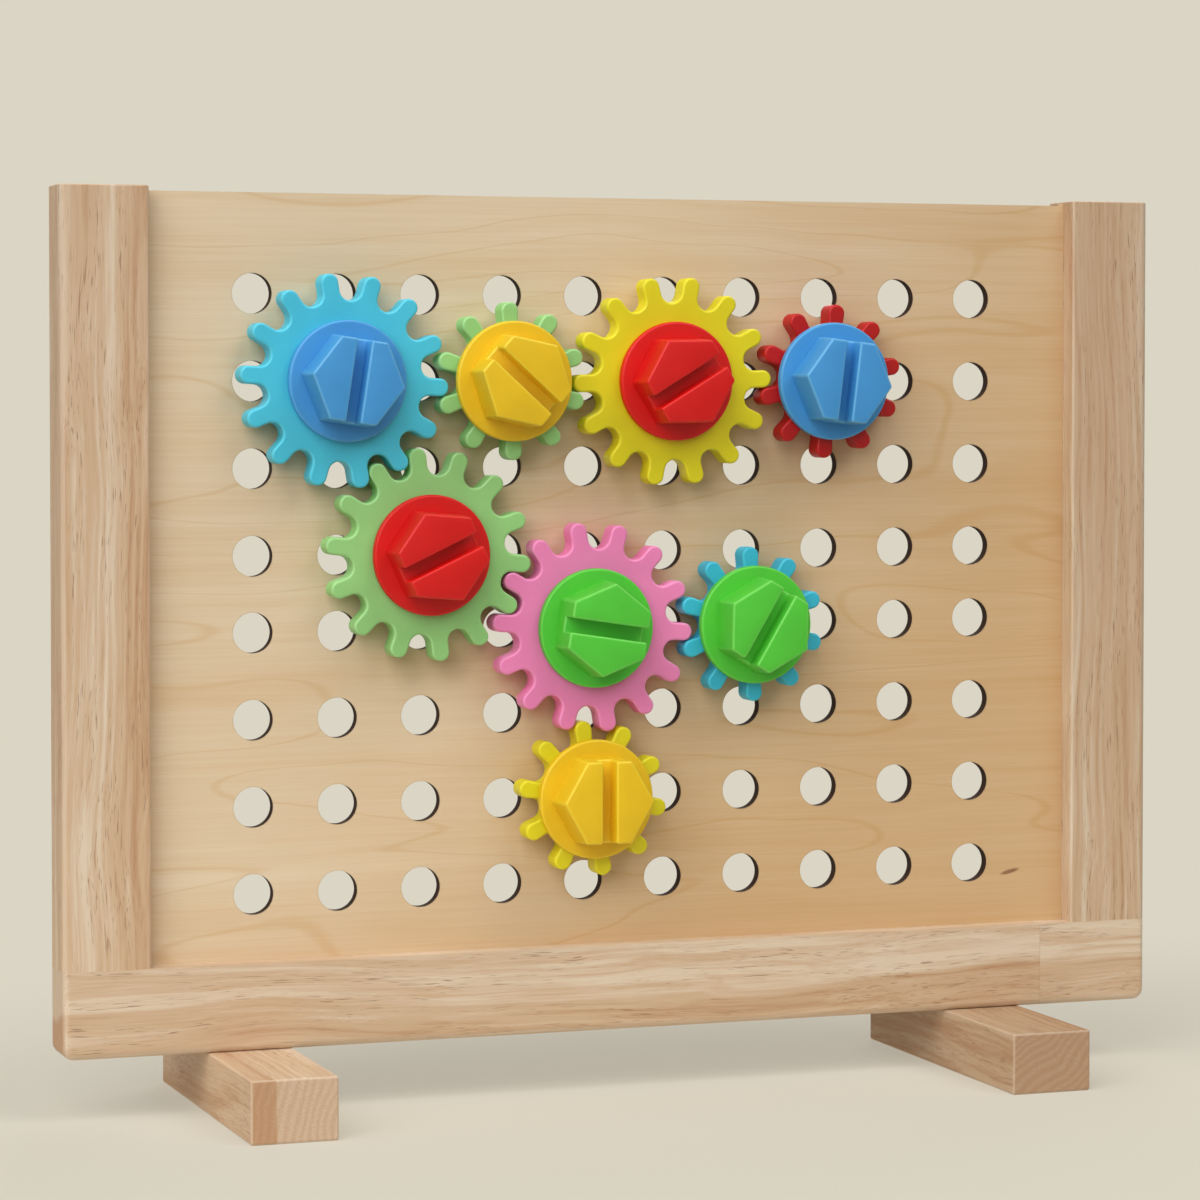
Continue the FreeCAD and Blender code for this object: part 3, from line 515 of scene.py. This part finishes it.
def plywood_material(wood):
    """Pale rotary-cut veneer on both faces, a darker core and the burnt walls of the holes."""
    graph = NodeGraph("birch_plywood")
    place = graph.place()
    x, y, z = graph.parts(place)
    low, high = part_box("peg_board")
    middle = (low.y + high.y) / 2 / MM
    behind = graph.math("GREATER_THAN", y, middle)
    grain = grain_space(graph, "X", (0, 0, 0))
    grain = graph.vector("MULTIPLY_ADD", graph.alike(behind), BACK_SHIFT, grain)
    fibre = graph.marks(grain, 40, 0.7, detail=3, roughness=0.6)
    cloud = graph.marks(grain, 120, 60)
    tone = veneer_tone(graph, grain, fibre, cloud)
    veneer = graph.mix(graph.ramp(tone, 0.36, 0.98), wood.veneer_light, wood.veneer_dark)
    # the veneer darkens towards the lower right of the board
    slant = graph.math("MULTIPLY_ADD", cloud, 160.0, graph.math("MULTIPLY_ADD", z, -0.7, x))
    veneer = graph.mix(graph.ramp(slant, -170.0, 110.0), veneer, wood.veneer_tan, blend="MULTIPLY")
    fleck = graph.math("SUBTRACT", fleck_share(graph, x, z), behind)
    fleck = graph.math("MAXIMUM", graph.math("MULTIPLY", fleck, 0.9), 0.0)
    veneer = graph.mix(fleck, veneer, wood.bar_pore)

    # the laser's burnt rim round each hole, and the walls: plies outside, soot in the holes
    hole = hole_distance(graph, place, BOARD_GRID)
    radius = BOARD_GRID["hole_radius"]
    halo = graph.ramp(hole, radius + 0.5, radius - 0.1)
    face = graph.mix(graph.math("MULTIPLY", halo, 0.2), veneer, wood.burnt_edge)
    depth = graph.math("ABSOLUTE", graph.math("SUBTRACT", y, middle))
    core = graph.ramp(depth, 1.0, 0.8)
    highlight = graph.mix(core, wood.veneer_light, wood.core_ply)
    soot = graph.marks(place, 3, 3)
    burnt = graph.mix(graph.math("MULTIPLY", soot, 0.07), wood.burnt_edge, wood.core_ply)
    in_hole = graph.math("LESS_THAN", hole, radius + 0.6)
    wall = graph.mix(in_hole, highlight, burnt)
    skin = graph.mix(graph.math("GREATER_THAN", graph.facing("Y"), 0.5), wall, face)
    gloss = graph.math("MULTIPLY_ADD", fibre, 0.15, 0.42)
    shader = graph.node("ShaderNodeBsdfPrincipled", {
        "Base Color": skin,
        "Roughness": graph.math("MAXIMUM", gloss, graph.math("MULTIPLY", in_hole, 0.95)),
        "Specular IOR Level": 0.35,
        "Normal": graph.bump(fibre, 0.00004, 0.4),
    })
    return graph.finish(shader.outputs[0])


# ---------------------------------------------------------------- plastic and metal

def paler(tone, share):
    """A lighter colour of the same hue."""
    return tuple(channel ** (1 - share) for channel in tone)


def plastic_material(name, tone, plastic):
    """Moulded plastic: an even colour with a soft sheen, a little depth, and rounded rims painted paler
    as a highlight.
    """
    graph = NodeGraph(name)
    place = graph.place()
    cloud = graph.marks(place, 14, 14)
    grain = graph.marks(place, 0.35, 0.35, detail=1)
    dim = tuple(channel * 0.94 for channel in tone)
    body = graph.mix(graph.ramp(cloud, 0.3, 0.7), dim, tuple(tone))
    facing = graph.facing("Y")
    # painted highlight: where the surface turns from facing along y to facing sideways, on rims, it is
    # painted paler
    rim = graph.math("MULTIPLY", graph.ramp(facing, 0.15, 0.4), graph.ramp(facing, 0.985, 0.85))
    shader = graph.node("ShaderNodeBsdfPrincipled", {
        "Base Color": graph.mix(rim, body, paler(tone, plastic.edge_light)),
        "Roughness": graph.math("MULTIPLY_ADD", cloud, 0.10, plastic.roughness - 0.05),
        "Specular IOR Level": 0.4,
        "Subsurface Weight": 0.18,
        "Subsurface Radius": (1.0, 1.0, 1.0),
        "Subsurface Scale": plastic.glow_depth,
        "Normal": graph.bump(grain, 0.00001, 0.35),
    })
    return graph.finish(shader.outputs[0])


def zinc_material():
    """Zinc-plated steel of the wood screws."""
    graph = NodeGraph("zinc_plate")
    spangle = graph.marks(graph.place(), 1.2, 1.2, detail=3)
    shader = graph.node("ShaderNodeBsdfPrincipled", {
        "Base Color": graph.mix(spangle, linear(176, 178, 184), linear(206, 207, 209)),
        "Metallic": 1.0,
        "Roughness": graph.math("MULTIPLY_ADD", spangle, 0.2, 0.22),
        "Normal": graph.bump(spangle, 0.00002, 0.3),
    })
    return graph.finish(shader.outputs[0])


# ---------------------------------------------------------------- bolts and nuts

def gear_axis(gear):
    """The point where a gear's axis goes through the origin's plane, from the gear's joint."""
    joint = next(each for each in frame["joints"] if each["name"] == f"{gear}_spin")
    return Vector(joint["pos_m"])


def thread_share(height, turn, pitch):
    """How deep the groove of a right-hand thread is at a place, from 0 at its ridge to 1."""
    phase = (height / pitch - turn / math.tau) % 1.0
    from_middle = abs(phase - 0.5) * 2
    return min(1.0, max(0.0, (FLANK_END - from_middle) / FLANK_WIDTH))


def hexagon_radius(corner, turn):
    """The distance from a hexagon's centre to its outline, with a flat across turn 0."""
    sector = (turn + math.pi / 6) % (math.pi / 3) - math.pi / 6
    return corner * math.cos(math.pi / 6) / math.cos(sector)


def add_ring(mesh, height, steps, radius_at):
    """A ring of points round the bolt's axis. radius_at gives the radius at a turn."""
    ring = []
    for step in range(steps):
        turn = math.tau * step / steps
        radius = radius_at(turn)
        ring.append(mesh.verts.new((radius * math.cos(turn), height, -radius * math.sin(turn))))
    return ring


def skin_rings(mesh, rings):
    """Joins rings of as many points each with faces."""
    faces = []
    for low, high in zip(rings, rings[1:]):
        for step in range(len(low)):
            after = (step + 1) % len(low)
            faces.append(mesh.faces.new((low[step], low[after], high[after], high[step])))
    return faces


def close_ring(mesh, ring):
    """Closes a ring with a fan round a point in its middle."""
    middle = mesh.verts.new((0.0, ring[0].co.y, 0.0))
    for step in range(len(ring)):
        mesh.faces.new((ring[step], ring[(step + 1) % len(ring)], middle))


def thread_rings(mesh, low, high, steps, fastener, radius, inner):
    """Rings of a threaded surface from one height to another. An inner thread has no end to run out."""
    rings = []
    slices = round((high - low) / fastener.thread_pitch * THREAD_SLICES)
    for number in range(slices + 1):
        height = low + (high - low) * number / slices
        fade = 1.0 if inner else min(1.0, (height - low) / (THREAD_RUN_OUT * fastener.thread_pitch))

        def radius_at(turn, height=height, fade=fade):
            groove = thread_share(height, turn, fastener.thread_pitch) * fade
            cut = radius - fastener.thread_depth * groove
            if inner:
                return cut
            return min(cut, radius - fastener.shank_chamfer + high - height)

        rings.append(add_ring(mesh, height, steps, radius_at))
    return rings


def slotted_head(fastener, foot, top):
    """A tapered hexagon with a slot from flat to flat, closed all round, its sharp convex edges weighted
    to be rounded.
    """
    mesh = bmesh.new()
    slope = math.tan(fastener.head_draft)
    floor = top + fastener.slot_depth
    half_slot = fastener.slot_width / 2
    corners = [math.pi / 6 + math.pi / 3 * number for number in range(6)]

    def outline(height):
        """Ten points: corners 0 to 2, the slot at 3 and 4, corners 5 to 7, the slot at 8 and 9."""
        flat = fastener.head_radius * math.cos(math.pi / 6) - (foot - height) * slope
        corner = flat / math.cos(math.pi / 6)
        points = [
            mesh.verts.new((corner * math.cos(turn), height, -corner * math.sin(turn)))
            for turn in corners
        ]
        right = [mesh.verts.new((flat, height, side * half_slot)) for side in (1, -1)]
        left = [mesh.verts.new((-flat, height, side * half_slot)) for side in (-1, 1)]
        return points[:3] + left + points[3:] + right

    levels = [outline(height) for height in (foot, floor, top)]
    count = len(levels[0])
    slot_gaps = {3, count - 2}
    for low, high, is_upper in ((levels[0], levels[1], False), (levels[1], levels[2], True)):
        for step in range(count):
            if is_upper and step in slot_gaps:
                continue
            after = (step + 1) % count
            mesh.faces.new((low[step], low[after], high[after], high[step]))
    base, step_level, crown = levels
    mesh.faces.new(base[::-1])
    mesh.faces.new((step_level[8], step_level[9], step_level[3], step_level[4]))
    mesh.faces.new((step_level[9], crown[9], crown[3], step_level[3]))
    mesh.faces.new((step_level[4], crown[4], crown[8], step_level[8]))
    mesh.faces.new((crown[9], crown[0], crown[1], crown[2], crown[3]))
    mesh.faces.new((crown[4], crown[5], crown[6], crown[7], crown[8]))
    bmesh.ops.recalc_face_normals(mesh, faces=mesh.faces)
    weight = mesh.edges.layers.float.new("bevel_weight_edge")
    for highlight in mesh.edges:
        is_sharp = highlight.calc_face_angle() > math.radians(ROUND_ANGLE)
        highlight[weight] = 1.0 if highlight.is_convex and is_sharp else 0.0
    return mesh


def object_from(mesh, name):
    """A new object in the scene from a bmesh, which is freed."""
    data = bpy.data.meshes.new(name)
    mesh.to_mesh(data)
    mesh.free()
    piece = bpy.data.objects.new(name, data)
    bpy.context.scene.collection.objects.link(piece)
    return piece


def applied(piece):
    """The same object with its modifiers made part of its mesh."""
    graph = bpy.context.evaluated_depsgraph_get()
    data = bpy.data.meshes.new_from_object(piece.evaluated_get(graph))
    piece.modifiers.clear()
    piece.data = data
    return piece


def rounded(piece, width):
    """Rounds the edges of a piece that have a weight, and gives them the second material, which paints a
    highlight on them.
    """
    for _ in range(2):
        piece.data.materials.append(None)
    bevel = piece.modifiers.new("round", "BEVEL")
    bevel.width = width
    bevel.segments = ROUND_SEGMENTS
    bevel.material = 1
    bevel.limit_method = "WEIGHT"
    return applied(piece)


def smooth(piece):
    """Smooth shading, apart from sharp edges."""
    for face in piece.data.polygons:
        face.use_smooth = True
    piece.data.set_sharp_from_angle(angle=math.radians(SMOOTH_ANGLE))


def joined(name, *pieces):
    """One object from several."""
    mesh = bmesh.new()
    for piece in pieces:
        mesh.from_mesh(piece.data)
        bpy.data.objects.remove(piece)
    return object_from(mesh, name)


def set_on_axis(piece, gear, turn):
    """Turns a fastener about its own axis, seen from the front, and moves it to its gear's axis."""
    axis = gear_axis(gear)
    cosine, sine = math.cos(math.radians(turn)), math.sin(math.radians(turn))
    for point in piece.data.vertices:
        x, height, z = point.co
        point.co = (axis.x + x * cosine - z * sine, height, axis.z + x * sine + z * cosine)
    piece.data.update()


def build_bolt(gear, fastener, turn):
    """A bolt along y: slotted head and flange in front, shoulder for the gear, threaded shank."""
    name = f"{gear}_bolt"
    low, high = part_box(name)
    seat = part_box("peg_board")[0].y
    head_top, shank_end = low.y, high.y
    head_foot = head_top + fastener.head_height
    flange_back = head_foot + fastener.flange_thickness
    head = object_from(slotted_head(fastener, head_foot, head_top), f"{name}_head")
    head = rounded(head, fastener.head_round)
    steps = fastener.round_steps
    body = bmesh.new()
    soft = fastener.flange_round
    rim = fastener.flange_radius
    bends = [math.pi / 2 * number / ARC_STEPS for number in range(ARC_STEPS + 1)]
    profile = [(head_foot, rim * FLANGE_START)]
    for bend in bends:
        profile.append((head_foot + soft * (1 - math.cos(bend)), rim - soft * (1 - math.sin(bend))))
    for bend in bends:
        profile.append((flange_back - soft * (1 - math.sin(bend)), rim - soft * (1 - math.cos(bend))))
    profile += [(flange_back, fastener.shoulder_radius), (seat, fastener.shoulder_radius)]
    rings = [
        add_ring(body, height, steps, lambda _turn, radius=radius: radius) for height, radius in profile
    ]
    rings += thread_rings(body, seat, shank_end, steps, fastener, fastener.shank_radius, inner=False)
    skin_rings(body, rings)
    close_ring(body, rings[0])
    close_ring(body, rings[-1])
    bmesh.ops.recalc_face_normals(body, faces=body.faces)
    piece = joined(f"{name}_moulding", head, object_from(body, f"{name}_body"))
    smooth(piece)
    set_on_axis(piece, gear, turn)
    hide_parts(name)
    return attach(piece, name)


def build_nut(gear, fastener, turn):
    """A hexagonal nut along y with chamfered corners and a thread that fits the bolt's."""
    name = f"{gear}_nut"
    low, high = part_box(name)
    steps = fastener.round_steps
    mesh = bmesh.new()
    chamfer = fastener.nut_chamfer
    flat = fastener.nut_radius * math.cos(math.pi / 6)
    bore = fastener.shank_radius + fastener.thread_clearance
    shares = [number / NUT_CONE_STEPS for number in range(NUT_CONE_STEPS + 1)]
    cones = [
        (chamfer * share, flat + NUT_CONE_START + (fastener.nut_radius - flat) * share)
        for share in shares
    ]

    def face_edge(_turn):
        return flat - NUT_FACE_INSET

    def chamfered(cone):
        """The hexagon's outline, cut round where it stands out of a cone."""
        return lambda at: min(cone, hexagon_radius(fastener.nut_radius, at))

    outer = [add_ring(mesh, low.y, steps, face_edge)]
    outer += [add_ring(mesh, low.y + inset, steps, chamfered(cone)) for inset, cone in cones]
    outer += [add_ring(mesh, high.y - inset, steps, chamfered(cone)) for inset, cone in reversed(cones)]
    outer.append(add_ring(mesh, high.y, steps, face_edge))
    inner = thread_rings(mesh, low.y, high.y, steps, fastener, bore, inner=True)
    skin_rings(mesh, outer + inner[::-1] + outer[:1])
    bmesh.ops.recalc_face_normals(mesh, faces=mesh.faces)
    piece = object_from(mesh, f"{name}_moulding")
    smooth(piece)
    set_on_axis(piece, gear, turn)
    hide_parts(name)
    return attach(piece, name)


# ---------------------------------------------------------------- operators

class GEARBOARD_OT_stage(Operator):
    """Build the floor, the lights and the camera"""

    bl_idname = "gear_board.stage"
    bl_label = "Stage"

    def execute(self, context):
        scene = context.scene
        stage = scene.gear_board_stage
        scene.view_settings.view_transform = "Standard"
        world = bpy.data.worlds.new("surroundings")
        world.use_nodes = True
        world.node_tree.nodes["Background"].inputs["Color"].default_value = rgba(stage.surroundings)
        world.cycles_visibility.diffuse = False
        scene.world = world
        self.add_floor(stage)
        for name, place, size, setting in LIGHTS:
            self.add_light(name, place, size, getattr(stage, setting))
        camera = bpy.data.objects.new("camera", bpy.data.cameras.new("camera"))
        scene.collection.objects.link(camera)
        camera.location = stage.camera_place
        camera.rotation_euler = (math.pi / 2 - stage.camera_tilt, 0, -stage.camera_azimuth)
        camera.data.lens = stage.camera_lens
        camera.data.shift_y = stage.camera_shift
        camera.data.clip_start = 0.01
        scene.camera = camera
        return {"FINISHED"}

    def add_floor(self, stage):
        """A matt floor that turns into the surroundings a little way from the board."""
        graph = NodeGraph("matt_floor")
        place = graph.node("ShaderNodeTexCoord").outputs["Object"]
        distance = graph.length(graph.vector("MULTIPLY", place, FLOOR_SQUEEZE))
        near = graph.node("ShaderNodeBsdfDiffuse", {"Color": rgba(stage.surroundings)})
        far = graph.node("ShaderNodeEmission", {"Color": rgba(stage.surroundings)})
        fade = {
            "Value": distance, "From Min": FLOOR_FADE[0], "From Max": FLOOR_FADE[1],
            "To Min": stage.floor_glow, "To Max": 1.0,
        }
        share = graph.node("ShaderNodeMapRange", fade, interpolation_type="SMOOTHSTEP").outputs[0]
        blended = graph.node("ShaderNodeMixShader", {0: share, 1: near.outputs[0], 2: far.outputs[0]})
        material = graph.finish(blended.outputs[0])
        turns = [math.tau * step / FLOOR_STEPS for step in range(FLOOR_STEPS)]
        for name, low, high in (("floor", 0.0, FLOOR_NEAR), ("floor_beyond", FLOOR_NEAR, FLOOR_FAR)):
            mesh = bmesh.new()
            rings = [
                [mesh.verts.new((radius * math.cos(turn), radius * math.sin(turn), 0)) for turn in turns]
                for radius in (low, high)
            ]
            skin_rings(mesh, rings[::-1])
            bmesh.ops.remove_doubles(mesh, verts=mesh.verts, dist=MM)
            piece = object_from(mesh, name)
            dress(piece, material)
            piece.visible_diffuse = low == 0.0

    def add_light(self, name, place, size, watts):
        """A large soft light that looks at the board."""
        light = bpy.data.lights.new(name, "AREA")
        light.shape = "DISK"
        light.size = size
        light.energy = watts
        lamp = bpy.data.objects.new(name, light)
        bpy.context.scene.collection.objects.link(lamp)
        lamp.location = place
        lamp.rotation_euler = (LIGHT_AIM - Vector(place)).to_track_quat("-Z", "Y").to_euler()


class GEARBOARD_OT_board(Operator):
    """Dress the plywood board"""

    bl_idname = "gear_board.board"
    bl_label = "Board"

    def execute(self, context):
        dress(frame["nodes"]["peg_board"], plywood_material(context.scene.gear_board_wood))
        return {"FINISHED"}


class GEARBOARD_OT_bars(Operator):
    """Dress the posts, the rail and the feet"""

    bl_idname = "gear_board.bars"
    bl_label = "Bars"

    def execute(self, context):
        wood = context.scene.gear_board_wood
        for name, bar in BARS.items():
            dress(frame["nodes"][name], bar_material(f"{name}_wood", wood, bar))
        return {"FINISHED"}


class GEARBOARD_OT_joinery(Operator):
    """Dress the dowels and the screws inside the frame"""

    bl_idname = "gear_board.joinery"
    bl_label = "Dowels and screws"

    def execute(self, context):
        wood = context.scene.gear_board_wood
        dowel = bar_material("dowel_wood", wood, Bar("Z", (900, 20, 33), 0.4, 1.0))
        zinc = zinc_material()
        for name, node in frame["nodes"].items():
            if name.endswith("_dowel"):
                dress(node, dowel)
            if name.endswith("_screw"):
                dress(node, zinc)
        return {"FINISHED"}


def plastic_of(context, tone):
    """The material of a plastic colour, made on its first use."""
    name = f"moulded_{tone}"
    plastic = context.scene.gear_board_plastic
    return bpy.data.materials.get(name) or plastic_material(name, getattr(plastic, tone), plastic)


def highlight_of(context, tone):
    """The same plastic made paler: a painted highlight on the rounded edges of the bolts' heads."""
    name = f"moulded_{tone}_edge"
    plastic = context.scene.gear_board_plastic
    pale = paler(getattr(plastic, tone), plastic.edge_light)
    return bpy.data.materials.get(name) or plastic_material(name, pale, plastic)


class GEARBOARD_OT_gears(Operator):
    """Dress the gears"""

    bl_idname = "gear_board.gears"
    bl_label = "Gears"

    def execute(self, context):
        for gear, (tone, _, _) in GEARS.items():
            dress(frame["nodes"][gear], plastic_of(context, tone))
        return {"FINISHED"}


class GEARBOARD_OT_bolts(Operator):
    """Build the slotted bolts with their threads"""

    bl_idname = "gear_board.bolts"
    bl_label = "Bolts"

    def execute(self, context):
        fastener = context.scene.gear_board_fastener
        for gear, (_, tone, turn) in GEARS.items():
            bolt = build_bolt(gear, fastener, turn)
            # the heads' rounded edges take a paler copy of the plastic, a painted highlight
            dress(bolt, plastic_of(context, tone), highlight_of(context, tone))
        return {"FINISHED"}


class GEARBOARD_OT_nuts(Operator):
    """Build the nuts behind the board with their threads"""

    bl_idname = "gear_board.nuts"
    bl_label = "Nuts"

    def execute(self, context):
        fastener = context.scene.gear_board_fastener
        for gear, (_, tone, turn) in GEARS.items():
            dress(build_nut(gear, fastener, turn), plastic_of(context, tone))
        return {"FINISHED"}


STEPS = (
    GEARBOARD_OT_stage,
    GEARBOARD_OT_board,
    GEARBOARD_OT_bars,
    GEARBOARD_OT_joinery,
    GEARBOARD_OT_gears,
    GEARBOARD_OT_bolts,
    GEARBOARD_OT_nuts,
)


class GEARBOARD_PT_panel(Panel):
    """The steps that build and dress the peg board"""

    bl_idname = "GEARBOARD_PT_panel"
    bl_label = "Gear Board"
    bl_space_type = "VIEW_3D"
    bl_region_type = "UI"
    bl_category = "Gear Board"

    def draw(self, context):
        for step in STEPS:
            self.layout.operator(step.bl_idname)


SETTINGS = {
    "gear_board_wood": GearBoardWood,
    "gear_board_plastic": GearBoardPlastic,
    "gear_board_fastener": GearBoardFastener,
    "gear_board_stage": GearBoardStage,
}


def register():
    for name, group in SETTINGS.items():
        bpy.utils.register_class(group)
        setattr(bpy.types.Scene, name, PointerProperty(type=group))
    for step in STEPS:
        bpy.utils.register_class(step)
    bpy.utils.register_class(GEARBOARD_PT_panel)


def unregister():
    bpy.utils.unregister_class(GEARBOARD_PT_panel)
    for step in reversed(STEPS):
        bpy.utils.unregister_class(step)
    for name, group in SETTINGS.items():
        delattr(bpy.types.Scene, name)
        bpy.utils.unregister_class(group)


def main():
    register()
    bpy.ops.gear_board.stage()
    bpy.ops.gear_board.board()
    bpy.ops.gear_board.bars()
    bpy.ops.gear_board.joinery()
    bpy.ops.gear_board.gears()
    bpy.ops.gear_board.bolts()
    bpy.ops.gear_board.nuts()


if __name__ == "__main__":
    main()
